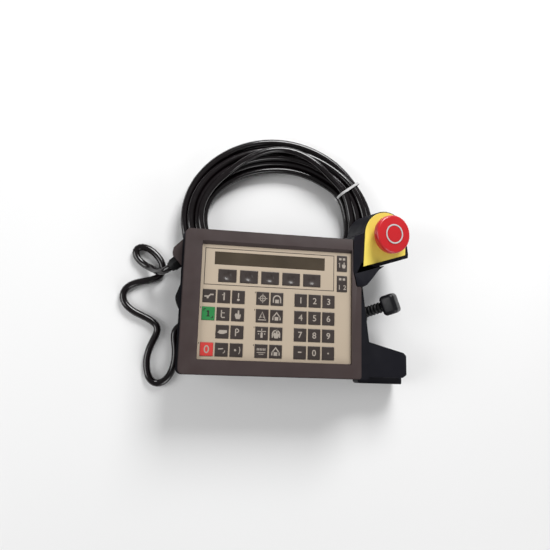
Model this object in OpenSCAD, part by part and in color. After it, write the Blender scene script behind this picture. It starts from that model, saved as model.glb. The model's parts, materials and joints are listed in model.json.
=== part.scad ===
// Pendant control station: a two-handed operating panel for a machine. It has a
// keypad with a two-line display, an emergency stop on its own pod, a three-axis
// joystick guarded by a foot, an enabling pad for the left hand and a coiled cord.
// Millimetres, +Z up. It lies on its back: the panel faces up, its top edge is
// towards +Y, and the origin is the centre of the back face that it rests on.

/* [Keys] */
// Width of a square key
key_w = 17; // [13:0.5:22]
// Height of a square key
key_h = 17.5; // [13:0.5:22]
// Space between keys side by side
key_gap_x = 2.5; // [2.2:0.1:5]
// Space between rows of keys
key_gap_y = 6; // [3:0.5:9]
// Space between two blocks of keys
block_gap = 16; // [8:1:24]
// Height that a key stands above the overlay
key_proud = 0.8; // [0.5:0.1:1.5]
// Distance that a key is pressed
key_travel = 0.6; // [0.3:0.1:0.8]
// Clearance between a key and its window
key_fit = 0.15; // [0.1:0.05:0.3]
// Width of a soft key
soft_w = 24.2; // [18:0.2:28]
// Height of a soft key
soft_h = 17.2; // [12:0.2:20]
// Space between soft keys
soft_gap = 4.9; // [2.5:0.1:8]
// Width of a tall key
tall_w = 14.5; // [10:0.5:18]
// Height of a tall key
tall_h = 22.4; // [16:0.2:27]
// Space between the tall keys
tall_gap = 6.2; // [3:0.2:10]

/* [Panel] */
// Width of the display window
display_w = 152.4; // [120:0.2:190]
// Height of the display window
display_h = 17.8; // [14:0.2:24]
// Overlay left of the display window
display_left = 17.2; // [12:0.2:26]
// Overlay above the display window
display_top = 9.4; // [7:0.2:14]
// Frame line outside the display window at each end
frame_pad = 13.6; // [8:0.2:18]
// Space from the display window to the soft keys
soft_drop = 6.2; // [4:0.2:12]
// Space from the soft keys to the first row of keys
rows_drop = 11; // [7:0.5:16]
// Overlay left of the first column
edge_left = 3.6; // [2.5:0.1:10]
// Overlay right of the tall keys
edge_right = 6; // [3:0.5:12]
// Overlay below the last row
edge_bottom = 4.6; // [3:0.1:12]
// Space left of the tall keys
tall_space = 3.1; // [2.5:0.1:8]
// Overlay above the tall keys
tall_top = 4.4; // [3:0.2:12]
// Thickness of the overlay
overlay_t = 2; // [1.8:0.1:3]
// Thickness of the switch plate under the keys
plate_t = 3; // [2:0.5:5]

/* [Bezel] */
// Bezel left of the overlay
margin_left = 24; // [18:1:34]
// Bezel right of the overlay
margin_right = 14; // [11:1:24]
// Bezel above and below the overlay
margin_y = 20; // [15:1:30]
// Height of the bezel above the overlay
bezel_rise = 5; // [2:0.5:8]
// Height of the bezel from the seam to its front
bezel_depth = 22; // [18:1:30]
// Width of the slope above the overlay
bezel_slope = 4; // [1:0.5:7]
// Corner radius of the bezel
bezel_r = 8; // [3:1:14]

/* [Case] */
// Depth of the grip block below the body
block_depth = 34; // [30:1:45]
// Depth of the body, from its underside to the overlay
body_depth = 42; // [38:1:60]
// Wall thickness
wall = 3; // [2:0.5:4]
// Body wider than the bezel at the left
left_lip = 3; // [1:0.5:6]
// Body wider than the bezel at the lower right
flank = 18; // [14:1:26]
// Length of the guard foot beyond the flank
foot_l = 56; // [40:1:75]
// Height of the guard foot along the case
foot_w = 53; // [40:1:60]
// Depth from the overlay to the foot's front
foot_drop = 20; // [10:1:26]
// Distance that the foot's lip reaches below the case
foot_lip = 5; // [2:1:10]

/* [Emergency stop] */
// Diameter of the mushroom head
head_d = 54; // [38:1:60]
// Height of the head's face above the backing plate
head_rise = 22; // [20:1:32]
// Thickness of the head at its rim
head_t = 12; // [8:1:16]
// Distance that the head is pushed
head_travel = 5; // [3:0.5:6]
// Diameter of the barrel and of the hole in the pod
barrel_d = 22; // [18:1:26]
// Diameter of the plunger
plunger_d = 14; // [10:1:16]
// Radius of the backing plate
badge_r = 34; // [30:1:40]
// Thickness of the backing plate
badge_t = 1.5; // [1:0.5:3]
// Pod lean to the right
pod_lean = 12.5; // [0:0.5:20]
// Pod tip towards the user
pod_tip = 5.5; // [0:0.5:10]
// Pod beyond the backing plate at the right and below
pod_rim = 6; // [3:0.5:10]

/* [Joystick] */
// Radius of the round boot
dome_r = 16; // [14:1:20]
// Clearance between the boot and its socket
dome_fit = 0.4; // [0.3:0.1:0.8]
// Lean of the stick to the right
stick_lean = 50; // [40:1:60]
// Turn of the stick towards the top of the panel
stick_turn = 20; // [0:1:30]
// Diameter of the stick
stick_d = 6; // [5:0.5:8]
// Diameter of the pivot pins
pivot_d = 3; // [2:0.5:4]
// Clearance of the pins in their holes, on the radius
pivot_fit = 0.05; // [0.02:0.01:0.1]
// Distance from the pivot to the knob
stick_reach = 49; // [44:1:60]
// Length of the knob
knob_l = 22; // [18:1:30]
// Width of the knob across the panel
knob_w = 24; // [18:1:30]
// Width of the knob up the panel
knob_h = 29; // [22:1:36]

/* [Enabling pad] */
// Length of the pad along the case
pad_l = 32; // [24:1:50]
// Height of the pad
pad_h = 15; // [10:1:18]
// Distance that the pad is squeezed
pad_travel = 3; // [1:0.5:4]
// How far the pad still stands out when it is squeezed
pad_left = 2.5; // [2:0.5:5]

/* [Cord] */
// Diameter of the cord
cord_d = 10; // [8:1:12]
// Layers of cord in the coil
coil_layers = 3; // [2:1:3]
// Width of the coil's ring
coil_ring = 47; // [30:1:60]
// Diameter of the connector
plug_d = 26; // [20:1:30]
// Length of the connector
plug_l = 58; // [45:1:70]

/* [Hidden] */
$fn = 48;
eps = 0.05;

// The panel, from the overlay's lower left corner.
left_block_w = 3 * key_w + 2 * key_gap_x;
mid_block_x = edge_left + left_block_w + block_gap;
mid_block_w = 2 * key_w + key_gap_x;
num_block_x = mid_block_x + mid_block_w + block_gap;
frame_right = display_left + display_w + frame_pad;
tall_x = max(num_block_x + left_block_w, frame_right) + tall_space;
overlay_w = tall_x + tall_w + edge_right;
soft_y = display_top + display_h + soft_drop;
rows_y = max(soft_y + soft_h + rows_drop, tall_top + 2 * tall_h + tall_gap + key_gap_y);
overlay_h = rows_y + 4 * key_h + 3 * key_gap_y + edge_bottom;

// Heights above the face that the case rests on.
panel_z = block_depth + body_depth;
plate_z = panel_z - overlay_t - plate_t;
front_z = panel_z + bezel_rise;
seam_z = front_z - bezel_depth;

// Outlines about the middle of the overlay: left, right, bottom and top.
bl = -overlay_w / 2 - margin_left;
br = overlay_w / 2 + margin_right;
bb = -overlay_h / 2 - margin_y;
bt = overlay_h / 2 + margin_y;
notch_x = br - 12;
notch_y = bb + 127;
body_l = bl - left_lip;
body_r = br + flank;
body_t = bt + 1.5;
flank_y = bb + foot_w;
joint_gap = 0.2;
pod_gap = 1;

// The grip block, whose middle is the origin.
block_l = bl + 36;
block_b = bb + 3;
block_t = bb + 89;
rest_x = (block_l + body_r) / 2;
rest_y = (block_b + block_t) / 2;

// The emergency stop: the middle of the pod's face and its own axes.
pod_x = br + 38;
pod_y = bt + 10;
pod_z = panel_z - 3;
pod_slope = 19;

// The joystick: its pivot and its own axes.
stick_x = br + 4;
stick_y = bb + 91;
stick_z = 26;
lip_angle = 37;
dome_angle = 56;
neck_r = 4.5;
knob_r = 6;

// The cord's route, each point on the cord's middle line, then the coil's oval.
route = [[-152, 44, 43], [-158, 43, 36], [-164, 45, 26], [-170, 49, 16], [-177, 53, 9],
    [-186, 58, 5], [-194, 65, 5], [-199, 73, 5], [-198, 81, 5], [-191, 84, 5], [-183, 83, 5],
    [-173, 77, 5], [-164, 68, 5], [-158, 58, 5], [-158, 48, 5], [-163, 40, 5], [-172, 36, 5],
    [-184, 33, 5], [-198, 29, 5], [-208, 22, 5], [-212, 11, 5], [-208, 0, 5], [-197, -10, 5],
    [-184, -16, 5], [-171, -22, 5], [-161, -29, 5], [-159, -38, 5], [-164, -49, 5],
    [-169, -62, 5], [-172, -76, 5], [-171, -90, 5], [-168, -102, 5], [-161, -110, 5],
    [-152, -111, 5], [-143, -105, 5], [-136, -93, 5], [-133, -78, 5], [-133, -62, 5],
    [-136, -46, 5], [-135, -34, 5], [-126, -27, 5], [-115, -21, 5], [-107, -9, 5],
    [-104, 6, 5], [-105, 21, 5], [-109, 35, 5], [-114, 48, 5]];
coil_x = 8;
coil_y = 130;
coil_a = 148;
coil_b = 131;
coil_h = cord_d * (1 + (coil_layers - 1) * 0.87);
plug_x = 30;
plug_y = coil_y - coil_b + coil_ring + cord_d / 2;
exit_face = [[body_l - 11.65, bt - 34.6], [body_l - 0.15, bt - 47.1]];
exit_dir = unit([exit_face[0][1] - exit_face[1][1], exit_face[1][0] - exit_face[0][0]]) * -1;
exit_mid = (exit_face[0] + exit_face[1]) / 2;
exit_z = 46;
exit_angle = atan2(exit_dir[1], exit_dir[0]);

// Every key: its name, then left, bottom, width and height from the lower left corner.
digit_names = [["key_digit_1", "key_digit_2", "key_digit_3"], ["key_digit_4", "key_digit_5", "key_digit_6"],
    ["key_digit_7", "key_digit_8", "key_digit_9"], ["key_minus", "key_digit_0", "key_point"]];
function row_y(r) = overlay_h - rows_y - (r + 1) * key_h - r * key_gap_y;
function square_key(name, x, c, r) = [name, x + c * (key_w + key_gap_x), row_y(r), key_w, key_h];
soft_x = display_left + (display_w - 5 * soft_w - 4 * soft_gap) / 2;
KEYS = [
    for (r = [0:3], c = [0:2]) if (r != 2 || c > 0)
        square_key(str("key_left_", r + 1, c + 1), edge_left, c, r),
    for (r = [0:3], c = [0:1]) square_key(str("key_middle_", r + 1, c + 1), mid_block_x, c, r),
    for (r = [0:3], c = [0:2]) square_key(digit_names[r][c], num_block_x, c, r),
    for (i = [0:4]) [str("key_soft_", i + 1), soft_x + i * (soft_w + soft_gap), overlay_h - soft_y - soft_h,
        soft_w, soft_h],
    for (i = [0:1]) [str("key_tall_", i + 1), tall_x, overlay_h - tall_top - (i + 1) * tall_h - i * tall_gap,
        tall_w, tall_h]];
key_skirt = 0.7;
pocket_t = 1;

// ---- shared shapes

function unit(v) = v / norm(v);

// One rounded corner: the arc of radius r that touches both sides of corner p.
function corner(p, a, b, r, n) =
    let (u = unit(a - p), v = unit(b - p), half = acos(u * v) / 2, c = p + unit(u + v) * r / sin(half),
        s = p + u * r / tan(half) - c, e = p + v * r / tan(half) - c, a0 = atan2(s[1], s[0]),
        turn = (atan2(e[1], e[0]) - a0 + 540) % 360 - 180)
    [for (i = [0:n]) c + r * [cos(a0 + turn * i / n), sin(a0 + turn * i / n)]];

// Outline with rounded corners; each corner is [x, y, radius].
function rounded(q, n = 6) = [for (i = [0:len(q) - 1]) let (l = len(q), p = q[i], a = q[(i + l - 1) % l],
    b = q[(i + 1) % l]) each corner([p[0], p[1]], [a[0], a[1]], [b[0], b[1]], p[2], n)];

module rounded_plate(w, h, t, r) {
    linear_extrude(t) polygon(rounded([[0, 0, r], [w, 0, r], [w, h, r], [0, h, r]]));
}

// The whole part is drawn about the middle of the overlay, then set on its origin.
module placed() { translate([-rest_x, -rest_y, 0]) children(); }

module on_overlay(z) { translate([-overlay_w / 2, -overlay_h / 2, z]) children(); }

module in_pod() { translate([pod_x, pod_y, pod_z]) rotate([pod_tip, pod_lean, 0]) children(); }

module in_stick() { translate([stick_x, stick_y, stick_z]) rotate([0, stick_lean, stick_turn]) children(); }

module in_gland() { translate([exit_mid[0], exit_mid[1], exit_z]) rotate([0, 90, exit_angle]) children(); }

// ---- the case

bezel_outline = rounded([[bl, bb, bezel_r], [br, bb, 4], [br, notch_y, 2], [br - 7, notch_y, 1.5],
    [notch_x, notch_y + 22, 3], [notch_x, bt, 2], [bl, bt, bezel_r]]);
body_outline = rounded([[body_l, bb, bezel_r], [body_r, bb, 4], [body_r, flank_y, 6],
    [br + 8.5, notch_y + 3, 2], [notch_x + 2, notch_y + 30, 2], [notch_x + 2, body_t, 2],
    [body_l, body_t, bezel_r]]);
block_outline = rounded([[block_l, block_b, 10], [body_r, block_b, 4], [body_r, flank_y, 6],
    [br + 10.5, block_t + 22, 3], [br - 16, block_t + 22, 6], [br - 36, block_t, 8],
    [block_l + 14, block_t, 6], [block_l, block_t - 12, 6]]);
screw_spots = [[bl + 15, bt - 10, 0], [0, bt - 10, 0], [notch_x - 12, bt - 10, 0], [bl + 15, bb + 10, 0],
    [br - 10, bb + 12, 1]];
screw_r = 2;
post_r = 5;
foot_z = 20;
base_z = 8;

module pod_outline(grow) {
    r = badge_r + 1.5;
    low = badge_r + 2 + pod_rim;
    offset(delta = grow)
        polygon([[-r - 16, -8], for (a = [180:-10:0]) r * [cos(a), sin(a)], [r + pod_rim - 1.5, -22],
            [r + pod_rim - 1.5, -low + (r + pod_rim) * tan(pod_slope)],
            [-r - 16, -low - (r + 16) * tan(pod_slope)]]);
}

module pod(grow, top, floor_z) {
    intersection() {
        in_pod() translate([0, 0, -90]) linear_extrude(90 + top) pod_outline(grow);
        translate([notch_x + joint_gap - grow, bb, floor_z]) cube([150, 400, 90]);
    }
}

module foot(grow) {
    y0 = bb + foot_lip - 1;
    linear_extrude(panel_z - foot_drop - foot_z + grow)
        offset(delta = grow)
            polygon(rounded([[body_r - 6, y0, 1], [body_r + foot_l - 6, y0, 2], [body_r + foot_l, y0 + 4, 3],
                [body_r + foot_l, flank_y - 18, 4], [body_r + foot_l - 4, flank_y - 14, 3],
                [body_r - 6, flank_y + 1.5, 1]]));
}

module foot_base(grow) {
    linear_extrude(foot_z + 12 - base_z + grow) offset(delta = grow)
        polygon(rounded([[body_r - 8, bb - foot_lip, 4], [body_r + foot_l + 2, bb - foot_lip, 2],
            [body_r + foot_l + 2, bb + 10, 2], [body_r - 8, bb + 10, 1]]));
}

module gusset(grow) {
    linear_extrude(front_z - 1 - block_depth + 2 * grow) offset(delta = grow)
        polygon([[notch_x + joint_gap, notch_y + 26], [br - 6, notch_y + 3 * joint_gap],
            [br + 8, notch_y + 3], [br + 17, notch_y + 14], [br + 25, notch_y + 25], [br + 34, notch_y + 32],
            [notch_x + 6, notch_y + 40]]);
}

module case_solid() {
    translate([0, 0, block_depth]) linear_extrude(seam_z - block_depth) polygon(body_outline);
    linear_extrude(block_depth + 1) polygon(block_outline);
    difference() {
        union() {
            pod(0, 0, block_depth);
            difference() {
                translate([0, 0, block_depth]) gusset(0);
                in_pod() linear_extrude(30) pod_outline(pod_gap);
            }
        }
        // room for the bezel's edge
        translate([0, 0, seam_z]) linear_extrude(60) offset(delta = joint_gap) polygon(bezel_outline);
    }
    translate([0, 0, foot_z]) foot(0);
    translate([0, 0, base_z]) foot_base(0);
    // boss for the cable gland
    translate([0, 0, block_depth + 2]) linear_extrude(seam_z - block_depth - 3)
        polygon([[body_l + 1, bt - 10], [body_l - 12, bt - 23.5], [body_l - 13, bt - 31], exit_face[0],
            exit_face[1], [body_l + 1, bt - 49]]);
}

module case_hollow() {
    translate([0, 0, block_depth + wall]) linear_extrude(seam_z - block_depth - 2 * wall)
        offset(delta = -wall) polygon(body_outline);
    translate([0, 0, seam_z - wall - eps]) linear_extrude(wall + 1)
        offset(delta = -wall) polygon(bezel_outline);
    translate([0, 0, wall]) linear_extrude(block_depth + 1) offset(delta = -wall) polygon(block_outline);
    pod(-wall, -wall, block_depth + wall);
    translate([0, 0, block_depth + wall]) gusset(-wall);
    // the foot is open underneath
    intersection() {
        union() {
            translate([0, 0, base_z - eps]) foot_base(-wall);
            translate([0, 0, foot_z - eps]) foot(-wall);
        }
        translate([body_r + 1, bb - foot_lip, 0]) cube([foot_l, foot_w + foot_lip, panel_z]);
    }
}

module rear_case() color([0.07, 0.07, 0.09]) placed() difference() {
    union() {
        difference() {
            case_solid();
            case_hollow();
        }
        // sleeve round the joystick's socket, screw posts and the board's pillars
        intersection() {
            case_solid();
            in_stick() translate([0, 0, -6]) cylinder(r = dome_r + 3.5, h = 44);
        }
        for (s = screw_spots) translate([s[0], s[1], s[2] ? 0 : block_depth])
            cylinder(r = post_r + 1, h = seam_z - (s[2] ? 0 : block_depth));
        for (x = [6, board_w - 6], y = [6, board_h - 6])
            translate([board_x + x, board_y + y, wall - eps]) cylinder(r = 3, h = board_z - wall + eps);
    }
    // holes for the barrel, the joystick's socket, the pad, the cable and the wires to the pod
    in_pod() translate([0, 0, -10]) cylinder(d = barrel_d + 2 * eps, h = 20);
    in_stick() translate([0, 0, -12]) cylinder(r = dome_r + 1 + eps, h = 52, $fn = 72);
    translate([body_l - 1, pad_y - pad_gap, pad_z - pad_gap])
        cube([wall + 1.5, pad_l + 2 * pad_gap, pad_h + 2 * pad_gap]);
    in_gland() translate([0, 0, -30]) cylinder(r = gland_r + eps, h = 31);
    translate([notch_x - 8, bt - 20, block_depth + 12]) rotate([0, 90, 0]) cylinder(r = 5, h = 20);
    for (s = screw_spots) translate([s[0], s[1], 0]) {
        translate([0, 0, s[2] ? -1 : block_depth - 1])
            cylinder(r = screw_r + 2, h = s[2] ? block_depth + 4 : 4);
        cylinder(r = screw_r + 0.2, h = panel_z);
    }
}

module front_bezel() color([0.27, 0.22, 0.21]) placed() difference() {
    translate([0, 0, seam_z]) union() {
        linear_extrude(bezel_depth - 1.5) polygon(bezel_outline);
        translate([0, 0, bezel_depth - 1.5 - eps]) linear_extrude(1.5 + eps)
            offset(delta = -1) polygon(bezel_outline);
    }
    // hollow under the front, outside the frame that holds the keypad
    difference() {
        translate([0, 0, seam_z - 1]) linear_extrude(bezel_depth - 2)
            offset(delta = -wall) polygon(bezel_outline);
        on_overlay(plate_z - 2) translate([-wall, -wall, 0])
            cube([overlay_w + 2 * wall, overlay_h + 2 * wall, 30]);
        for (s = screw_spots) translate([s[0], s[1], seam_z - 2]) cylinder(r = post_r, h = 40);
    }
    on_overlay(plate_z - 3) translate([4, 4, 0]) cube([overlay_w - 8, overlay_h - 8, 60]);
    on_overlay(plate_z) translate([-joint_gap, -joint_gap, 0])
        cube([overlay_w + 2 * joint_gap, overlay_h + 2 * joint_gap, 60]);
    // slope above the overlay
    on_overlay(panel_z) translate([0, overlay_h, 0]) rotate([90, 0, 90])
        linear_extrude(overlay_w) polygon([[-1, 0], [joint_gap, 0], [bezel_slope, bezel_rise],
            [bezel_slope, 20], [-1, 20]]);
    for (s = screw_spots) translate([s[0], s[1], seam_z - 1]) cylinder(r = screw_r, h = front_z - seam_z - 4);
}

module case_screws() color("silver") placed() {
    for (s = screw_spots) translate([s[0], s[1], block_depth + 3]) {
        translate([0, 0, -2.4]) difference() {
            cylinder(r = screw_r + 1.6, h = 2.4);
            translate([0, 0, -1]) cylinder(r = 1.4, h = 2.4, $fn = 6);
        }
        translate([0, 0, -eps]) cylinder(r = screw_r - eps, h = front_z - block_depth - 10);
    }
}

// ---- the panel

module keypad_overlay() color([0.76, 0.68, 0.58]) placed() on_overlay(panel_z - overlay_t) difference() {
    rounded_plate(overlay_w, overlay_h, overlay_t, 1.5);
    for (k = KEYS) {
        translate([k[1] - key_fit, k[2] - key_fit, -1])
            cube([k[3] + 2 * key_fit, k[4] + 2 * key_fit, overlay_t + 2]);
        translate([k[1] - key_skirt - key_fit, k[2] - key_skirt - key_fit, -1])
            cube([k[3] + 2 * (key_skirt + key_fit), k[4] + 2 * (key_skirt + key_fit), 1 + pocket_t]);
    }
    translate([display_left, overlay_h - display_top - display_h, -1])
        cube([display_w, display_h, overlay_t + 2]);
}

// The plate under the overlay, with a contact well below each key and an opening for the display.
module keypad_switches() color([0.15, 0.35, 0.2]) placed() on_overlay(plate_z) difference() {
    rounded_plate(overlay_w, overlay_h, plate_t, 1.5);
    for (k = KEYS) translate([k[1] + k[3] / 2, k[2] + k[4] / 2, plate_t - 1])
        cylinder(r = 4, h = 2, $fn = 24);
    translate([display_left + 3, overlay_h - display_top - display_h + 2, -1])
        cube([display_w - 6, display_h - 4, plate_t + 2]);
}

module display_window() color([0.3, 0.24, 0.16]) placed()
    on_overlay(panel_z - overlay_t) translate([display_left + joint_gap, overlay_h - display_top - display_h
        + joint_gap, 0]) cube([display_w - 2 * joint_gap, display_h - 2 * joint_gap, overlay_t - 0.5]);

// Glass cell and its circuit board, fixed under the switch plate.
module display_module() color([0.2, 0.3, 0.22]) placed()
    on_overlay(plate_z) translate([display_left - 4, overlay_h - display_top - display_h - 6, 0]) {
        translate([0, 0, -1.6]) cube([display_w + 8, display_h + 10, 1.6]);
        translate([5, 4, -8]) cube([display_w - 2, display_h + 2, 6.4 + eps]);
    }

// Circuit board on the case's pillars in the grip block.
board_x = block_l + 12;
board_y = block_b + 8;
board_z = 14;
board_w = body_r - block_l - 60;
board_h = block_t - block_b - 26;
module main_board() color([0.1, 0.35, 0.2]) placed() translate([board_x, board_y, board_z]) {
    cube([board_w, board_h, 1.6]);
    translate([12, 12, 1.6 - eps]) cube([26, 26, 4]);
    translate([50, 14, 1.6 - eps]) cube([40, 14, 3]);
    translate([board_w - 30, 12, 1.6 - eps]) cube([18, 30, 11]);
}

// One key: a cap that passes through the overlay, on a thin skirt that keeps it in.
module key(k) color(k[0] == "key_left_21" ? [0.2, 0.45, 0.25] : k[0] == "key_left_41" ? [0.75, 0.25, 0.22]
    : [0.24, 0.2, 0.19]) placed() on_overlay(panel_z - overlay_t) translate([k[1], k[2], 0]) difference() {
    union() {
        translate([0, 0, key_travel + 0.1])
            rounded_plate(k[3], k[4], overlay_t + key_proud - key_travel - 0.1, 0.8);
        translate([-key_skirt, -key_skirt, key_travel + 0.1])
            cube([k[3] + 2 * key_skirt, k[4] + 2 * key_skirt, pocket_t - key_travel - 0.1]);
    }
    if (k[3] == soft_w) translate([k[3] / 2, k[4] / 2, overlay_t + key_proud + 20]) sphere(r = 21, $fn = 60);
}

// ---- the emergency stop

module estop_badge() color([0.95, 0.8, 0.25]) placed() in_pod() linear_extrude(badge_t) difference() {
    polygon([for (a = [180:-7.5:0]) badge_r * [cos(a), sin(a)],
        [badge_r, -badge_r - 2 + badge_r * tan(pod_slope)],
        [-badge_r, -badge_r - 2 - badge_r * tan(pod_slope)]]);
    circle(d = barrel_d + 2 * eps);
}

face_z = badge_t + head_rise;
head_gap = 2;
collar_top = face_z - head_t - head_travel - head_gap;
barrel_l = 14;
plunger_l = 12;
module estop_collar() color([0.1, 0.1, 0.1]) placed() in_pod() rotate_extrude($fn = 72)
    polygon([[plunger_d / 2 + eps, -barrel_l], [barrel_d / 2, -barrel_l], [barrel_d / 2, badge_t],
        [barrel_d / 2 + 5, badge_t], [barrel_d / 2 + 4, collar_top], [plunger_d / 2 + eps, collar_top]]);

module estop_head() color([0.75, 0.1, 0.12]) placed() in_pod() rotate_extrude($fn = 96)
    polygon([[0, -plunger_l], [plunger_d / 2, -plunger_l], [plunger_d / 2, face_z - head_t],
        for (a = [-90:15:0]) [head_d / 2 - 2 + 2 * cos(a), face_z - head_t + 2 + 2 * sin(a)],
        for (a = [0:15:90]) [head_d / 2 - 3 + 3 * cos(a), face_z - 4 + 3 * sin(a)], [0, face_z]]);

// Contact block clipped to the barrel, with a well that the plunger enters.
module estop_contacts() color([0.85, 0.85, 0.8]) placed() in_pod() difference() {
    translate([-15, -15, -barrel_l - 18]) cube([30, 30, 18]);
    translate([0, 0, -plunger_l - head_travel - 7]) cylinder(d = plunger_d + 1, h = 20);
}

// ---- the joystick, each piece along the stick from its pivot

socket_l = 13;
post_y = 10.5;
yoke_r = 9.5;
module joystick_base() color([0.12, 0.12, 0.13]) placed() in_stick() {
    inner = dome_r + dome_fit;
    rotate_extrude($fn = 72) polygon([[0, -socket_l], [dome_r + 1, -socket_l], [dome_r + 1, 9],
        [inner * sin(lip_angle) + 4, inner + 0.4],
        [inner * sin(lip_angle) + 0.6, inner * cos(lip_angle) + 2],
        for (a = [lip_angle:(80 - lip_angle) / 8:80.1]) inner * [sin(a), cos(a)],
        [inner, 0], [inner, 3 - socket_l], [0, 3 - socket_l]]);
    // posts for the yoke's pins
    for (m = [0, 1]) mirror([0, m, 0]) difference() {
        translate([-3, post_y, 3 - socket_l - eps]) cube([6, 4, socket_l - 0.5 + eps]);
        translate([0, post_y - 1, 0]) rotate([-90, 0, 0]) cylinder(r = pivot_d / 2 + pivot_fit, h = 7);
    }
}

module joystick_yoke() color([0.6, 0.6, 0.62]) placed() in_stick() {
    difference() {
        translate([0, 0, -2.2]) cylinder(r = yoke_r, h = 4.4);
        translate([0, 0, -3]) cylinder(r = yoke_r - 3, h = 6);
        translate([-12, 0, 0]) rotate([0, 90, 0]) cylinder(r = pivot_d / 2 + pivot_fit, h = 24);
    }
    for (m = [0, 1]) mirror([0, m, 0]) translate([0, yoke_r - 0.5, 0]) rotate([-90, 0, 0])
        cylinder(d = pivot_d, h = 5);
}

module joystick_stick() color([0.7, 0.7, 0.72]) placed() in_stick() {
    translate([0, 0, -6]) cylinder(d = stick_d, h = stick_reach + knob_l - 2);
    translate([0.5 - yoke_r, 0, 0]) rotate([0, 90, 0]) cylinder(d = pivot_d, h = 2 * yoke_r - 1);
}

// Rubber boot: a round skirt that turns in the socket and a ribbed neck on the stick.
rib = (stick_reach - dome_r - 8) / 5;
module joystick_boot() color([0.06, 0.06, 0.06]) placed() in_stick() rotate_extrude($fn = 72)
    polygon([[stick_d / 2 + eps, (dome_r - 2) * cos(14)],
        for (a = [14:7:dome_angle]) (dome_r - 2) * [sin(a), cos(a)],
        for (a = [dome_angle:-7:16]) dome_r * [sin(a), cos(a)], [neck_r, dome_r + 4],
        for (i = [0:4]) each [[neck_r + 2, dome_r + 5 + i * rib], [neck_r + 3.4, dome_r + 6.5 + i * rib],
            [neck_r + 3.4, dome_r + 8 + i * rib]], [neck_r + 2, stick_reach - 2],
        [stick_d / 2 + eps, stick_reach - 2]]);

module joystick_knob() color([0.05, 0.05, 0.05]) placed() in_stick() difference() {
    translate([0, 0, stick_reach]) hull() for (x = [-1, 1], y = [-1, 1], z = [0, 1])
        translate([x * (knob_w / 2 - knob_r), y * (knob_h / 2 - knob_r), z ? knob_l - knob_r : knob_r])
            sphere(r = knob_r, $fn = 24);
    translate([0, 0, stick_reach - 1]) cylinder(d = stick_d + 2 * eps, h = knob_l - 5);
}

// ---- the enabling pad

pad_y = bb + 104 - pad_l / 2;
pad_z = block_depth + wall + 2;
pad_gap = 0.3;
pad_out = pad_left + pad_travel;
module enable_pad() color([0.04, 0.04, 0.05]) placed() {
    translate([0, 0, pad_z]) linear_extrude(pad_h) polygon([[body_l + wall + eps, pad_y],
        [body_l - 0.5, pad_y], [body_l - pad_out + 2, pad_y + 6], [body_l - pad_out, pad_y + 12],
        [body_l - pad_out, pad_y + pad_l - 15], [body_l - pad_out + 2, pad_y + pad_l - 9],
        [body_l - 0.5, pad_y + pad_l], [body_l + wall + eps, pad_y + pad_l]]);
    translate([body_l + wall, pad_y - 1.5, pad_z - 1.5]) cube([1.5, pad_l + 3, pad_h + 3]);
}

// ---- the cord

gland_r = 7.5;
nut_l = 8;
gland_l = 13;
module cable_gland() color([0.05, 0.05, 0.05]) placed() in_gland() difference() {
    union() {
        translate([0, 0, -12]) cylinder(r = gland_r, h = 12 + eps);
        cylinder(r = 9.5, h = nut_l, $fn = 6);
        translate([0, 0, nut_l - eps]) cylinder(r1 = 8, r2 = 6.4, h = gland_l - nut_l + eps);
    }
    translate([0, 0, -13]) cylinder(d = cord_d + 2 * eps, h = 40);
}

// Tube of round section swept along a list of points: each ring stands square to the
// line between the points before and after it.
function side_of(t) = unit(cross([0, 0, 1], t));
function ring(p, t, r, n) = let (s = side_of(t), u = cross(t, s))
    [for (i = [0:n - 1]) p + r * (cos(360 * i / n) * s + sin(360 * i / n) * u)];
module tube(pts, d, n = 10) {
    last = len(pts) - 1;
    rings = [for (i = [0:last]) ring(pts[i], unit(pts[min(i + 1, last)] - pts[max(i - 1, 0)]), d / 2, n)];
    polyhedron([for (r = rings) each r], concat(
        [[for (i = [0:n - 1]) i]], [[for (i = [n - 1:-1:0]) last * n + i]],
        [for (k = [0:last - 1], i = [0:n - 1])
            [k * n + i, (k + 1) * n + i, (k + 1) * n + (i + 1) % n, k * n + (i + 1) % n]]));
}

function from_gland(d) = [exit_mid[0] + exit_dir[0] * d, exit_mid[1] + exit_dir[1] * d, exit_z];
module cord_lead() color([0.03, 0.03, 0.03]) placed()
    tube(concat([from_gland(2), from_gland(gland_l)], route), cord_d);

function oval(a, b, n = 72) = [for (i = [0:n - 1])
    [coil_x + a * cos(360 * i / n), coil_y + b * sin(360 * i / n)]];
module cord_coil() color([0.03, 0.03, 0.03]) placed() linear_extrude(coil_h) difference() {
    polygon(oval(coil_a, coil_b));
    polygon(oval(coil_a - coil_ring, coil_b - coil_ring));
}

// Round connector at the far end, beside the coil under the case.
plug_turn = 150;
module cord_plug() color([0.5, 0.5, 0.52]) placed() translate([plug_x, plug_y, plug_d / 2])
    rotate([0, 90, plug_turn]) rotate_extrude($fn = 48) polygon([[0, 0], [cord_d / 2 + 1, 0],
        [cord_d / 2 + 3, 14], [plug_d / 2 - 3, 16],
        [plug_d / 2 - 3, 28], [plug_d / 2, 30], [plug_d / 2, plug_l - 6], [plug_d / 2 - 2, plug_l],
        [plug_d / 2 - 4, plug_l], [plug_d / 2 - 4, plug_l - 8], [0, plug_l - 8]]);

rear_case();
front_bezel();
case_screws();
keypad_overlay();
keypad_switches();
display_window();
display_module();
main_board();
estop_badge();
estop_collar();
estop_head();
estop_contacts();
joystick_base();
joystick_yoke();
joystick_stick();
joystick_boot();
joystick_knob();
enable_pad();
cable_gland();
cord_lead();
cord_coil();
cord_plug();
for (k = KEYS) key(k);
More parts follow.
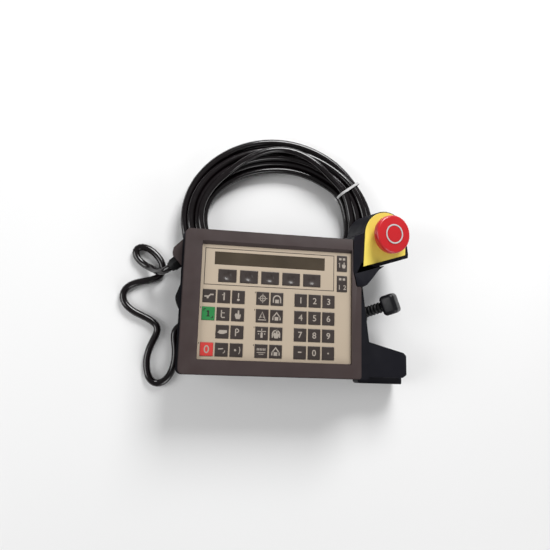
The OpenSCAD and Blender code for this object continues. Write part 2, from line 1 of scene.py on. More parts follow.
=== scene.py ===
# %% [markdown]
# A pendant control station lies on its back: a keypad in a dark bezel, an emergency stop on a
# pod, a joystick behind a foot, and nine metres of cord in a coil. The rigid frame, with every
# size and joint, is made already. This lesson gives it its surfaces, its cord and its legends.
# %% Load the frame
import json
import math
import bmesh
import bpy
import numpy as np
from mathutils import Matrix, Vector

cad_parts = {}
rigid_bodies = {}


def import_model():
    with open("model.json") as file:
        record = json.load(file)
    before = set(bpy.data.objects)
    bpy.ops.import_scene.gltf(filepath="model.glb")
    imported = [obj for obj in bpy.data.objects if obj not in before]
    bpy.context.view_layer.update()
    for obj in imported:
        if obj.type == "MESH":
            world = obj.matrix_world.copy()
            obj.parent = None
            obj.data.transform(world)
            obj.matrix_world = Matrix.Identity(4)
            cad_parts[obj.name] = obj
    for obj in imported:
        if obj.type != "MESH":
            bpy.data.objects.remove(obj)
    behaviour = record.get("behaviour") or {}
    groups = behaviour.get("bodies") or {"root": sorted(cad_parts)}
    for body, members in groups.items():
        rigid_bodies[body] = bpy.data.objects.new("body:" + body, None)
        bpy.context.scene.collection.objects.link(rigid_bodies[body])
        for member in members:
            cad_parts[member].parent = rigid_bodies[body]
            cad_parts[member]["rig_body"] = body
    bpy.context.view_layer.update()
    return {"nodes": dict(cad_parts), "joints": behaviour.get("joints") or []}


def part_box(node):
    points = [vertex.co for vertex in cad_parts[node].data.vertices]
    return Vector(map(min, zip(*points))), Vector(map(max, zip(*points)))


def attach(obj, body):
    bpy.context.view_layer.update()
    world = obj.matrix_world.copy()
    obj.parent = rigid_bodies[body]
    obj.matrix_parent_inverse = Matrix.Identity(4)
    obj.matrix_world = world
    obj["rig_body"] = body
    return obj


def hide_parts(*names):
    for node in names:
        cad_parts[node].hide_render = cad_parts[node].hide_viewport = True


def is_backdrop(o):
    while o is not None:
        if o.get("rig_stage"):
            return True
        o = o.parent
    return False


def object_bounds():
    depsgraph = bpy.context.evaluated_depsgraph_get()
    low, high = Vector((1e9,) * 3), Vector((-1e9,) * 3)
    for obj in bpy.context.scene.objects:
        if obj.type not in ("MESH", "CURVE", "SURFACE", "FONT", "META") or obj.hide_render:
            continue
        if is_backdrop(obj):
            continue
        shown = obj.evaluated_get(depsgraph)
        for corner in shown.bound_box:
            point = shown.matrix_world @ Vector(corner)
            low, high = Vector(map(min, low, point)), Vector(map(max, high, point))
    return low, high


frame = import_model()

MM = 0.001


def box(node):
    """Lowest and highest corner of a node, as two arrays."""
    low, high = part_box(node)
    return np.array(low), np.array(high)


overlay_low, overlay_high = box("keypad_overlay")
panel = np.array([*((overlay_low + overlay_high) / 2)[:2], overlay_high[2]])
print("the middle of the panel is at", panel.round(4))

# %% [markdown]
# The camera looks down on the panel from 0.73 m, a little from the left and from below. It is
# placed by its eye, the way it looks and the way that is up in the picture, because those three
# fix a camera without any turning by hand. The floor is a plain pale sheet.
# %% Camera and floor
eye = panel + np.array([-117.5, -95.5, 714.1]) * MM
forward = np.array([0.1544, 0.1842, -0.9707])
up = np.array([-0.0584, 0.9825, 0.1771])
right = np.cross(forward, up)
camera_data = bpy.data.cameras.new("camera")
camera_data.sensor_width = 36
camera_data.lens = 35.23
camera_data.clip_end = 20
camera = bpy.data.objects.new("camera", camera_data)
true_up = np.cross(right, forward)
camera.matrix_world = Matrix(
    [[right[i], true_up[i], -forward[i], eye[i]] for i in range(3)] + [[0, 0, 0, 1]]
)
bpy.context.scene.collection.objects.link(camera)
bpy.context.scene.camera = camera

floor_mesh = bpy.data.meshes.new("floor")
floor_mesh.from_pydata([(-9, -9, 0), (9, -9, 0), (9, 9, 0), (-9, 9, 0)], [], [(0, 1, 2, 3)])
floor = bpy.data.objects.new("floor", floor_mesh)
floor.location.z = -0.0003
bpy.context.scene.collection.objects.link(floor)
floor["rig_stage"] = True
print("the eye is at", eye.round(3))

# %% [markdown]
# Soft studio light: a lamp beyond the panel's top edge draws the bright lines along the glossy
# cord, two weaker and wider ones fill its shadows, and a dim pale world lights the rest. They
# stand low and far out, so black plastic that faces the camera mirrors none of them.
# %% Lights


def area_lamp(name, place, aim, size, power):
    """A square lamp of the given size in metres, turned from its place towards aim."""
    data = bpy.data.lights.new(name, "AREA")
    data.size = size
    data.energy = power
    lamp = bpy.data.objects.new(name, data)
    z = np.array(place) - np.array(aim)
    z = z / np.linalg.norm(z)
    x = np.cross([0.0, 1.0, 0.01], z)
    x = x / np.linalg.norm(x)
    y = np.cross(z, x)
    lamp.matrix_world = Matrix([[x[i], y[i], z[i], place[i]] for i in range(3)] + [[0, 0, 0, 1]])
    bpy.context.scene.collection.objects.link(lamp)


area_lamp("top_lamp", (0.35, 1.25, 1.0), (0, 0.1, 0), 0.7, 25)
area_lamp("left_lamp", (-1.5, -0.1, 1.0), (0, 0, 0), 1.0, 14)
area_lamp("near_lamp", (0.9, -1.4, 0.9), (0, 0, 0), 1.0, 14)
world = bpy.data.worlds.new("studio")
world.use_nodes = True
world.node_tree.nodes["Background"].inputs["Color"].default_value = (1, 1, 1, 1)
world.node_tree.nodes["Background"].inputs["Strength"].default_value = 0.2
bpy.context.scene.world = world
bpy.context.scene.view_settings.view_transform = "Standard"
print(len(bpy.data.lights), "lamps and a pale world")

# %% [markdown]
# The cord is one tube: a circle carried along a smooth path. The path goes out of the gland,
# round a small loop on the floor, along a lazy curve and under the case, where it joins the
# coil. The coil's turns are worked out: four strands side by side, in three layers that nest.
# %% The cord's path
CORD = 10.0
COIL_X, COIL_Y, COIL_A, COIL_B = 10.0, 130.0, 146.0, 129.0
COLUMNS = [0, 1, 2, 3, 3.5, 2.5, 1.5, 0.5, 0, 1, 2, 3]
LAYERS = [0] * 4 + [1] * 4 + [2] * 4
route = np.array([
    [-138.2, 54.9, 46], [-142, 51.4, 46], [-146.3, 47.4, 46], [-152, 44, 43], [-158, 43, 36],
    [-164, 45, 26], [-170, 49, 16], [-177, 53, 9], [-186, 58, 5], [-194, 65, 5], [-199, 73, 5],
    [-198, 81, 5], [-191, 84, 5], [-183, 83, 5], [-173, 77, 5], [-164, 68, 5], [-158, 58, 5],
    [-158, 48, 5], [-163, 40, 5], [-172, 36, 5], [-184, 33, 5], [-198, 29, 5], [-208, 22, 5],
    [-212, 11, 5], [-208, 0, 5], [-197, -10, 5], [-184, -16, 5], [-171, -22, 5], [-161, -29, 5],
    [-159, -38, 5], [-164, -49, 5], [-169, -62, 5], [-172, -76, 5], [-171, -90, 5],
    [-168, -102, 5], [-161, -110, 5], [-152, -111, 5], [-143, -105, 5], [-136, -93, 5],
    [-133, -78, 5], [-133, -62, 5], [-136, -46, 5], [-135, -34, 5], [-126, -27, 5],
    [-115, -21, 5], [-107, -9, 5], [-104, 6, 5], [-105, 21, 5], [-109, 35, 5], [-114, 48, 5.0]])


def bump(angle, middle, width):
    """A smooth hill over angles in degrees: one at the middle, nearly nothing two widths away."""
    return np.exp(-((((angle - middle + 180) % 360 - 180) / width) ** 2))


def coil(start, stop):
    """Points of the coil from one angle down to another, in degrees. A turn keeps its column
    and layer and moves to the next one's at the bottom of the ring. The strands fan out at the
    top, lie closer at the left and at the tie, and the last one crosses over the others."""
    angle = np.arange(start, stop, -2.0)
    turned = (90 - angle) / 360
    number = np.floor(turned).astype(int)
    step = np.clip((turned - number - 0.42) * 6, 0, 1)
    step = step * step * (3 - 2 * step)
    now, later = np.clip(number, 0, 11), np.clip(number + 1, 0, 11)
    column = np.array(COLUMNS)[now] * (1 - step) + np.array(COLUMNS)[later] * step
    layer = np.array(LAYERS)[now] * (1 - step) + np.array(LAYERS)[later] * step
    crossing = np.exp(-(((turned - 11) * 360 / 34) ** 2))
    wander = np.sin(turned * 8.6) + np.sin(turned * 3.83 + 1)
    close = bump(angle, 175, 35) + bump(angle, 34, 14)
    inwards = CORD / 2 + column * CORD * (1 + 0.18 * bump(angle, 100, 34) - 0.2 * close)
    inwards = inwards + 0.8 * wander * (layer / 2) ** 3 - 20 * crossing + 2 * bump(angle, 34, 14)
    height = CORD / 2 + layer * CORD * 0.87 + 9.5 * np.clip(crossing * 2.2, 0, 1)
    height = height + 4 * close * (np.round(column + 0.25) % 2)
    a, b = COIL_A - inwards, COIL_B - inwards + 3 * bump(angle, 95, 40)
    t = np.radians(angle)
    return np.stack([COIL_X + a * np.cos(t), COIL_Y + b * np.sin(t), height], axis=1)


def smooth_path(points, step, passes=3):
    """The points joined by a curve through them all, a Catmull-Rom spline whose tangent at each
    point is half the way from the one before to the one after, sampled every step. Each pass
    then moves every sample half the way to the middle of its neighbours, as stiff rubber would
    ease a tight bend, and no sample goes lower than a cord that lies on the floor."""
    ends = np.vstack([2 * points[0] - points[1], points, 2 * points[-1] - points[-2]])
    a, b, c, d = (ends[i:len(ends) - 3 + i, None] for i in range(4))
    t = np.linspace(0, 1, 12, endpoint=False)[None, :, None]
    curve = 0.5 * (2 * b + (c - a) * t + (2 * a - 5 * b + 4 * c - d) * t**2
                   + (3 * b - a - 3 * c + d) * t**3)
    curve = np.vstack([curve.reshape(-1, 3), points[-1:]])
    far = np.concatenate([[0], np.cumsum(np.linalg.norm(np.diff(curve, axis=0), axis=1))])
    even = np.linspace(0, far[-1], int(far[-1] / step) + 1)
    path = np.stack([np.interp(even, far, curve[:, i]) for i in range(3)], axis=1)
    for _ in range(passes):
        path[1:-1] = (path[:-2] + 2 * path[1:-1] + path[2:]) / 4
    path[:, 2] = np.maximum(path[:, 2], CORD / 2)
    return path


into_plug = np.array([[56, 49, 20], [44, 46.5, 15], [34, 49, 13], [26, 53.5, 13], [20, 57, 13.0]])
turns = coil(205, 205 - 360 * 11 - 245)[::3]
cord_points = smooth_path(np.vstack([route, turns, into_plug]), 4.5)
cord_path = cord_points * MM + [panel[0], panel[1], 0]

# %% [markdown]
# A tube needs a ring of points at each step of its path, square to the path, and the rings must
# not twist. Carrying the first ring's side along, and taking out what points forwards, does it.
# %% Carry a circle along a path


def piece(name, points, faces, body, material=None, smooth=True):
    """A mesh object from points in metres and faces, which rides on a body of the frame."""
    mesh = bpy.data.meshes.new(name)
    mesh.from_pydata(np.asarray(points, float).tolist(), [], [list(map(int, f)) for f in faces])
    mesh.polygons.foreach_set("use_smooth", [smooth] * len(mesh.polygons))
    if material:
        mesh.materials.append(material)
    made = bpy.data.objects.new(name, mesh)
    bpy.context.scene.collection.objects.link(made)
    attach(made, body)
    return made


def grid_faces(rows, columns):
    """Four-sided faces of a grid of points, closed round its columns and capped at both ends."""
    i, j = np.meshgrid(np.arange(rows - 1), np.arange(columns), indexing="ij")
    k = (j + 1) % columns
    here, next_row = i * columns, (i + 1) * columns
    sides = np.stack([here + j, here + k, next_row + k, next_row + j], -1)
    first = list(range(columns))[::-1]
    last = [(rows - 1) * columns + c for c in range(columns)]
    return sides.reshape(-1, 4).tolist() + [first, last]


def tube(path, radius, sides):
    """Rings round a path: each point is the path plus radius times the cosine of the angle
    along the ring's own side, plus radius times the sine along its other side."""
    ahead = np.gradient(path, axis=0)
    ahead = ahead / np.linalg.norm(ahead, axis=1)[:, None]
    across = np.empty_like(ahead)
    across[0] = np.cross(ahead[0], [0, 0, 1])
    for n in range(1, len(path)):
        across[n] = across[n - 1] - ahead[n] * (across[n - 1] @ ahead[n])
        across[n] /= np.linalg.norm(across[n])
    other = np.cross(ahead, across)
    angle = np.arange(sides) * 2 * np.pi / sides
    cosine, sine = np.cos(angle)[None, :, None], np.sin(angle)[None, :, None]
    ring = cosine * across[:, None] + sine * other[:, None]
    return (path[:, None] + radius * ring).reshape(-1, 3), grid_faces(len(path), sides)


print("a tube of 12 sides with two rings has", len(grid_faces(2, 12)), "faces")

# %% [markdown]
# Every finish is worked out from noise, so nothing is a flat colour. One function makes them
# all: a slow noise moves the colour a little, another moves the roughness, as hands polish
# some places, and a fine one raises the grain. They differ only in their numbers.
# %% A finish from noise


def finish(name, colour, rough=(0.4, 0.5), grain=1500.0, relief=0.00002, vary=0.12, metallic=0.0,
           coat=0.0, patch=28.0, specular=0.5):
    """A material: its colour is the given one, mixed by slow noise with a darker one, and its
    roughness runs between two values over the same kind of noise."""
    material = bpy.data.materials.new(name)
    material.use_nodes = True
    nodes, links = material.node_tree.nodes, material.node_tree.links
    shader = nodes["Principled BSDF"]
    shader.inputs["Metallic"].default_value = metallic
    shader.inputs["Coat Weight"].default_value = coat
    shader.inputs["Coat Roughness"].default_value = 0.08
    shader.inputs["Specular IOR Level"].default_value = specular
    place = nodes.new("ShaderNodeTexCoord")

    def noise(scale, detail):
        node = nodes.new("ShaderNodeTexNoise")
        node.inputs["Scale"].default_value = scale
        node.inputs["Detail"].default_value = detail
        links.new(place.outputs["Object"], node.inputs["Vector"])
        return node.outputs["Fac"]

    tint = nodes.new("ShaderNodeMix")
    tint.data_type = "RGBA"
    tint.inputs["A"].default_value = (*colour, 1)
    tint.inputs["B"].default_value = (*[c * (1 - vary) ** 3 for c in colour], 1)
    links.new(noise(patch, 4), tint.inputs["Factor"])
    links.new(tint.outputs["Result"], shader.inputs["Base Color"])
    wear = nodes.new("ShaderNodeMapRange")
    wear.inputs["From Min"].default_value = 0.3
    wear.inputs["From Max"].default_value = 0.7
    wear.inputs["To Min"].default_value = rough[0]
    wear.inputs["To Max"].default_value = rough[1]
    links.new(noise(patch * 2.3, 3), wear.inputs["Value"])
    links.new(wear.outputs["Result"], shader.inputs["Roughness"])
    if relief:
        raised = nodes.new("ShaderNodeBump")
        raised.inputs["Distance"].default_value = relief
        raised.inputs["Strength"].default_value = 1.0
        links.new(noise(grain, 2), raised.inputs["Height"])
        links.new(raised.outputs["Normal"], shader.inputs["Normal"])
    return material


cord_sheath = finish("cord_sheath", (0.007, 0.0045, 0.0055), (0.14, 0.24), 130, 0.00006, 0.2,
                     coat=0.3, specular=0.4)
case_plastic = finish("case_plastic", (0.0045, 0.0045, 0.009), (0.46, 0.58), 1700, 0.00003,
                      specular=0.25)
bezel_plastic = finish("bezel_plastic", (0.058, 0.04, 0.039), (0.36, 0.5), 1700, 0.00003,
                       specular=0.4)
overlay_film = finish("overlay_film", (0.5, 0.41, 0.31), (0.42, 0.5), 2500, 0.000008, 0.05, patch=9)
key_plastic = finish("key_plastic", (0.05, 0.038, 0.034), (0.3, 0.42), 1800, 0.00001, 0.15)
green_plastic = finish("green_plastic", (0.03, 0.25, 0.07), (0.3, 0.42), 1800, 0.00001)
red_plastic = finish("red_plastic", (0.62, 0.05, 0.045), (0.3, 0.42), 1800, 0.00001, 0.06)
pale_print = finish("pale_print", (0.4, 0.35, 0.3), (0.45, 0.55), 2500, 0.0, 0.05)
dark_print = finish("dark_print", (0.022, 0.017, 0.015), (0.45, 0.55), 2500, 0.0, 0.05)
stop_red = finish("stop_red", (0.6, 0.016, 0.022), (0.26, 0.36), 900, 0.00001, 0.06, coat=0.25)
badge_yellow = finish("badge_yellow", (0.95, 0.76, 0.13), (0.4, 0.5), 2000, 0.00001, 0.05)
soft_rubber = finish("soft_rubber", (0.007, 0.007, 0.008), (0.45, 0.62), 1400, 0.00004, 0.2,
                     specular=0.3)
knob_plastic = finish("knob_plastic", (0.006, 0.006, 0.008), (0.3, 0.45), 1400, 0.00003, 0.2,
                      specular=0.35)
turned_steel = finish("turned_steel", (0.5, 0.5, 0.52), (0.25, 0.35), 1200, 0.00001, 0.1,
                      metallic=1.0)
plug_shell = finish("plug_shell", (0.35, 0.35, 0.36), (0.3, 0.4), 1500, 0.00002, 0.1, metallic=1.0)
window_pane = finish("window_pane", (0.095, 0.072, 0.048), (0.16, 0.26), 600, 0.0, 0.35, patch=18)
board_green = finish("board_green", (0.02, 0.12, 0.05), (0.35, 0.5), 1500, 0.00001)
tie_plastic = finish("tie_plastic", (0.62, 0.62, 0.62), (0.3, 0.4), 900, 0.00002, 0.1)
floor_paper = finish("floor_paper", (0.86, 0.86, 0.86), (0.8, 0.9), 400, 0.0, 0.01, patch=2)
floor_mesh.materials.append(floor_paper)
print(len(bpy.data.materials), "finishes")

# %% [markdown]
# The cord is glossy rubber over twisted cores, so its sheath is not quite straight: the finish
# has long soft bumps. It replaces the plain tube and ring that stand for it in the frame.
# %% Make the cord
points, faces = tube(cord_path, CORD / 2 * MM, 12)
cord = piece("cord", points, faces, "housing", cord_sheath)
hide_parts("cord_lead", "cord_coil")
print("the cord's tube has", len(cord.data.polygons), "faces")

# %% [markdown]
# The frame's pieces have true shapes but dead sharp edges. A real moulding has a small radius on
# each edge, which catches the light. A copy of the piece is merged, flat faces are joined, and a
# Bevel modifier rounds what is sharper than a limit. The copy then stands for the piece.
# %% Round the edges of a frame piece


def edged(node, width, material, segments=2, limit=32):
    """A copy of a frame piece with its sharp edges rounded by width, in millimetres."""
    source = frame["nodes"][node]
    made = bmesh.new()
    made.from_mesh(source.data)
    bmesh.ops.remove_doubles(made, verts=made.verts, dist=2e-6)
    bmesh.ops.dissolve_limit(made, angle_limit=math.radians(0.6), verts=made.verts,
                             edges=made.edges)
    mesh = bpy.data.meshes.new(node + "_finished")
    made.to_mesh(mesh)
    made.free()
    mesh.materials.clear()
    mesh.materials.append(material)
    mesh.polygons.foreach_set("material_index", [0] * len(mesh.polygons))
    mesh.polygons.foreach_set("use_smooth", [True] * len(mesh.polygons))
    mesh.set_sharp_from_angle(angle=math.radians(limit))
    copy = bpy.data.objects.new(node + "_finished", mesh)
    bpy.context.scene.collection.objects.link(copy)
    if width:
        bevel = copy.modifiers.new("edges", "BEVEL")
        bevel.width = width * MM
        bevel.segments = segments
        bevel.limit_method = "ANGLE"
        bevel.angle_limit = math.radians(limit)
        bevel.harden_normals = True
    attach(copy, source["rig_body"])
    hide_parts(node)
    return copy


case = edged("rear_case", 1.0, case_plastic)
case.data.materials.append(bezel_plastic)
middles = np.empty(len(case.data.polygons) * 3)
case.data.polygons.foreach_get("center", middles)
middles = middles.reshape(-1, 3)
pad_low, pad_high = box("enable_pad")
BOSS_TOP = 35.5 * MM
on_boss = (middles[:, 0] < pad_high[0] - 5 * MM) & (middles[:, 1] > pad_high[1] + 20 * MM)
brown = on_boss & (middles[:, 2] > BOSS_TOP)
case.data.polygons.foreach_set("material_index", brown.astype(int))
edged("front_bezel", 0.8, bezel_plastic, 3)
edged("keypad_overlay", 0.12, overlay_film, 1)
edged("display_window", 0.3, window_pane)
edged("estop_badge", 0.3, badge_yellow)
edged("estop_collar", 0.4, knob_plastic)
edged("estop_head", 0.0, stop_red, limit=50)
edged("enable_pad", 1.0, soft_rubber)
edged("cable_gland", 0.4, soft_rubber)
edged("joystick_base", 0.4, knob_plastic)
edged("joystick_boot", 0.0, soft_rubber, limit=60)
edged("joystick_knob", 0.0, knob_plastic, limit=60)
plug = edged("cord_plug", 0.4, plug_shell)
edged("case_screws", 0.2, turned_steel)
for node, material in {"keypad_switches": board_green, "display_module": board_green,
                       "main_board": board_green, "estop_contacts": tie_plastic,
                       "joystick_yoke": turned_steel, "joystick_stick": turned_steel}.items():
    frame["nodes"][node].data.materials.clear()
    frame["nodes"][node].data.materials.append(material)

# %% [markdown]
# A key is a moulded cap with rounded corners, a small radius round its top and, on the five keys
# under the display, a round dish for the fingertip. It is a set of rings: each ring is the cap's
# outline drawn in by some amount at some height, so one function makes every key.
# %% Key caps


def rounded_ring(width, height, radius, inset, round_off=0.0, each=6, between=0):
    """Outline of a rectangle with round corners, drawn in by inset, with some more points along
    each side. With round_off at one it is a circle of half its height: every point is mixed
    between its place on the rectangle and its place on the circle, in the same direction."""
    w, h = width / 2 - inset, height / 2 - inset
    r = max(radius - inset, 0.02)
    turn = np.radians(np.arange(4)[:, None] * 90 + np.linspace(0, 90, each)[None])
    corner = np.array([[w - r, h - r], [r - w, h - r], [r - w, r - h], [w - r, r - h]])
    arcs = np.stack([corner[:, :1] + r * np.cos(turn), corner[:, 1:] + r * np.sin(turn)], axis=2)
    t = (np.arange(between) + 1)[None, :, None] / (between + 1)
    sides = arcs[:, -1:] * (1 - t) + np.roll(arcs, -1, axis=0)[:, :1] * t
    x, y = np.concatenate([arcs, sides], axis=1).reshape(-1, 2).T
    far = np.hypot(x, y)
    return np.stack([x + (x / far * h - x) * round_off, y + (y / far * h - y) * round_off], axis=1)


KEY_SKIRT = 0.7
CORNER_POINTS = 6
CAP_RADIUS = 1.0


def key_cap(node, material):
    """The cap's rings from its foot to its top, and for a soft key a dish whose depth follows a
    circle's arc. The thin skirt that keeps it in is out of sight and left off."""
    low, high = box(node)
    width, height = (high - low)[:2] / MM - 2 * KEY_SKIRT
    middle = (low + high) / 2
    top = high[2] / MM
    rings = [(0.0, low[2] / MM, 0), (0.0, top - 0.35, 0), (0.1, top - 0.12, 0), (0.35, top, 0),
             (0.5, top, 0)]
    between = 0
    if node.startswith("key_soft"):
        between = 6
        dish = [(6.0, 0.0), (5.4, 0.12), (4.8, 0.4), (4.2, 0.72), (3.4, 0.98), (2.4, 1.16),
                (1.4, 1.26), (0.5, 1.3)]
        rings += [(height / 2 - r, top - deep, 1) for r, deep in dish]
    count = 4 * (CORNER_POINTS + between)
    outline = [rounded_ring(width, height, CAP_RADIUS, inset, round_off, CORNER_POINTS, between)
               for inset, _, round_off in rings]
    heights = np.repeat([z for _, z, _ in rings], count)
    points = np.column_stack([np.concatenate(outline), heights]) * MM + [middle[0], middle[1], 0]
    cap = piece(node + "_cap", points, grid_faces(len(rings), count),
                frame["nodes"][node]["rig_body"], material)
    cap.data.set_sharp_from_angle(angle=math.radians(40))
    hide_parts(node)
    return cap


KEYS = [name for name in frame["nodes"] if name.startswith("key_")]
for name in KEYS:
    if name == "key_left_21":
        key_cap(name, green_plastic)
    elif name == "key_left_41":
        key_cap(name, red_plastic)
    else:
        key_cap(name, key_plastic)
print(len(KEYS), "key caps")

# %% [markdown]
# Legends are printed on the caps in a pale ink: digits on one block, and plain signs of a
# machine's axes, tools and motions on the others. Each sign is a few strokes and filled areas in
# a square from -1 to 1. A stroke is a flat ribbon, a tenth of a millimetre high.
# %% Strokes and areas


def ribbon(line, width):
    """A flat ribbon along a line of points: each point moves half the width to either side,
    square to the way from the point before to the point after."""
    line = np.array(line, float)
    ahead = np.gradient(line, axis=0)
    ahead = ahead / np.linalg.norm(ahead, axis=1)[:, None]
    side = np.stack([-ahead[:, 1], ahead[:, 0]], axis=1) * width / 2
    return np.vstack([line + side, (line - side)[::-1]])


def arc(x, y, rx, ry, start, stop, count=14):
    """Points on an oval arc about x, y between two angles in degrees."""
    t = np.radians(np.linspace(start, stop, count))
    return np.stack([x + rx * np.cos(t), y + ry * np.sin(t)], axis=1)


def printed(name, outlines, centre, size, top, material, body):
    """Every outline as a closed plate a tenth of a millimetre high, in one piece. Outlines are
    in units of size, in millimetres, and the plates stand on top, in metres."""
    points, faces, count = [], [], 0
    for outline in outlines:
        outline = np.array(outline, float)
        flat = outline * size * MM + centre[:2]
        area = np.sum(flat[:, 0] * np.roll(flat[:, 1], -1) - flat[:, 1] * np.roll(flat[:, 0], -1))
        flat = flat if area > 0 else flat[::-1]
        n = len(flat)
        for z in (top - 0.05 * MM, top + 0.05 * MM):
            points.append(np.column_stack([flat, np.full(n, z)]))
        faces += [[count + f for f in face] for face in grid_faces(2, n)]
        count += 2 * n
    made = piece(name, np.concatenate(points), faces, body, material, smooth=False)
    return made


print("a stroke of two points has", len(ribbon([(0, 0), (1, 0)], 0.1)), "corners")

# %% [markdown]
# The signs themselves. A guard or gripper is an arch with a block in it, a hand is a few soft
# fingers, an axis is a ring with a cross through it. They are kept simple: at this size a sign
# is only a few strokes wide.
# %% The signs
w = 0.16
arch = np.vstack([arc(0, -0.05, 0.78, 0.8, 0, 180), arc(0, -0.05, 0.56, 0.56, 180, 0)])
legs = [[(-0.78, -0.7), (-0.56, -0.7), (-0.56, -0.05), (-0.78, -0.05)],
        [(0.56, -0.7), (0.78, -0.7), (0.78, -0.05), (0.56, -0.05)]]
block = [[(-0.34, -0.75), (0.34, -0.75), (0.34, -0.1), (-0.34, -0.1)]]
roof = [[(-0.8, -0.2), (0, 0.85), (0.8, -0.2), (0.55, -0.2), (0, 0.52), (-0.55, -0.2)]]
crosshair = [ribbon(arc(0, 0, 0.5, 0.5, 0, 360, 25), w), ribbon([(-0.85, 0), (0.85, 0)], w * 0.8),
             ribbon([(0, -0.85), (0, 0.85)], w * 0.8)]
cone = [ribbon([(-0.5, -0.5), (0, 0.7), (0.5, -0.5)], w),
        ribbon([(-0.75, -0.75), (0.75, -0.75)], w),
        arc(-0.2, -0.25, 0.1, 0.1, 0, 330), arc(0.2, -0.25, 0.1, 0.1, 0, 330)]
post = [[(-0.2, -0.8), (0.2, -0.8), (0.2, 0.1), (-0.2, 0.1)],
        ribbon([(-0.8, 0.35), (0.8, 0.35)], w), ribbon([(0, 0.1), (0, 0.85)], w),
        arc(-0.55, -0.1, 0.12, 0.12, 0, 330), arc(0.55, -0.1, 0.12, 0.12, 0, 330)]
comb = [ribbon([(x, 0.1), (x, 0.5)], w) for x in (-0.7, -0.42, -0.14, 0.14, 0.42, 0.7)]
comb += [ribbon([(-0.8, -0.25), (0.8, -0.25)], w * 0.7),
         ribbon([(-0.45, -0.55), (0.45, -0.55)], w * 0.7)]
palm = [np.array([(-0.3, -0.8), (0.35, -0.8), (0.6, -0.2), (0.5, 0.15), (0.3, -0.05),
                  (0.25, 0.75), (0.02, 0.8), (-0.05, 0.1), (-0.35, 0.25), (-0.55, -0.1)])]
SIGNS = {
    "key_left_11": [ribbon([(-0.85, -0.1), (-0.1, -0.1), (0.25, 0.25), (0.8, 0.25)], w * 1.6),
                    arc(-0.25, -0.35, 0.2, 0.16, 0, 330)],
    "key_left_12": [ribbon([(0.05, -0.7), (0.05, 0.7)], w * 1.5),
                    ribbon([(-0.35, 0.3), (0.05, 0.3)], w)],
    "key_left_13": [ribbon([(0, -0.1), (0, 0.75)], w * 1.3), arc(0, -0.5, 0.26, 0.24, 0, 330)],
    "key_left_21": [ribbon([(0, -0.5), (0, 0.5)], w * 1.8), ribbon([(-0.3, -0.5), (0.3, -0.5)], w),
                    ribbon([(-0.3, 0.3), (0, 0.5)], w),
                    ribbon([(-0.8, 0.45), (-0.8, 0.8), (-0.45, 0.8)], w),
                    ribbon([(0.8, -0.45), (0.8, -0.8), (0.45, -0.8)], w)],
    "key_left_22": [ribbon([(-0.3, 0.7), (-0.3, -0.5), (-0.1, -0.65), (0.35, -0.6)], w * 1.3),
                    ribbon([(-0.3, 0.2), (0.3, 0.2)], w)],
    "key_left_23": palm,
    "key_left_32": [[(-0.85, -0.15), (-0.5, 0.3), (0.85, 0.3), (0.85, -0.15), (0.2, -0.4),
                     (-0.4, -0.4)]],
    "key_left_33": [ribbon([(-0.25, -0.7), (-0.25, 0.6)], w * 1.2),
                    ribbon(arc(-0.2, 0.28, 0.5, 0.34, 90, -90), w * 1.2)],
    "key_left_41": [ribbon(arc(0, 0, 0.36, 0.6, 0, 360, 25), w * 1.3)],
    "key_left_42": [ribbon([(-0.6, 0.1), (0.0, 0.15), (0.3, 0.2)], w * 1.2),
                    ribbon(arc(0.2, -0.2, 0.4, 0.4, 10, -80), w * 0.8)],
    "key_left_43": [arc(-0.2, 0.0, 0.2, 0.2, 0, 330),
                    ribbon(arc(0.3, 0.0, 0.35, 0.7, 60, -70), w * 0.8)],
    "key_middle_11": crosshair, "key_middle_21": cone, "key_middle_31": post, "key_middle_41": comb,
    "key_middle_12": [arch, *legs, *block], "key_middle_22": [*roof, *legs, *block],
    "key_middle_32": [arch, *legs, *palm], "key_middle_42": [*roof, *legs, *block],
    "key_minus": [ribbon([(-0.35, 0.05), (0.3, 0.05)], w * 1.4)],
    "key_point": [arc(0, 0, 0.15, 0.15, 0, 330)],
    "key_tall_1": [[(-0.7, 0.75), (-0.15, 0.75), (-0.15, 1.25), (-0.7, 1.25)],
                   [(0.15, 0.75), (0.7, 0.75), (0.7, 1.25), (0.15, 1.25)],
                   ribbon([(-0.55, -0.9), (-0.55, 0.2), (-0.8, 0.0)], w),
                   *[p * [0.75, 0.85] + [0.35, -0.35] for p in palm]],
    "key_tall_2": [[(-0.7, 0.75), (-0.15, 0.75), (-0.15, 1.25), (-0.7, 1.25)],
                   [(0.15, 0.75), (0.7, 0.75), (0.7, 1.25), (0.15, 1.25)]],
}
for name, signs in SIGNS.items():
    low, high = box(name)
    ink = dark_print if name == "key_left_21" else pale_print
    printed(name + "_sign", signs, (low + high) / 2, (high - low)[0] / MM * 0.4, high[2], ink,
            frame["nodes"][name]["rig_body"])
print(len(SIGNS), "printed signs")

# %% [markdown]
# Digits come from Blender's own font. A text becomes a mesh first, and only then is it moved to
# its key, so that its object can stay at the origin as every piece's does.
# %% The digits


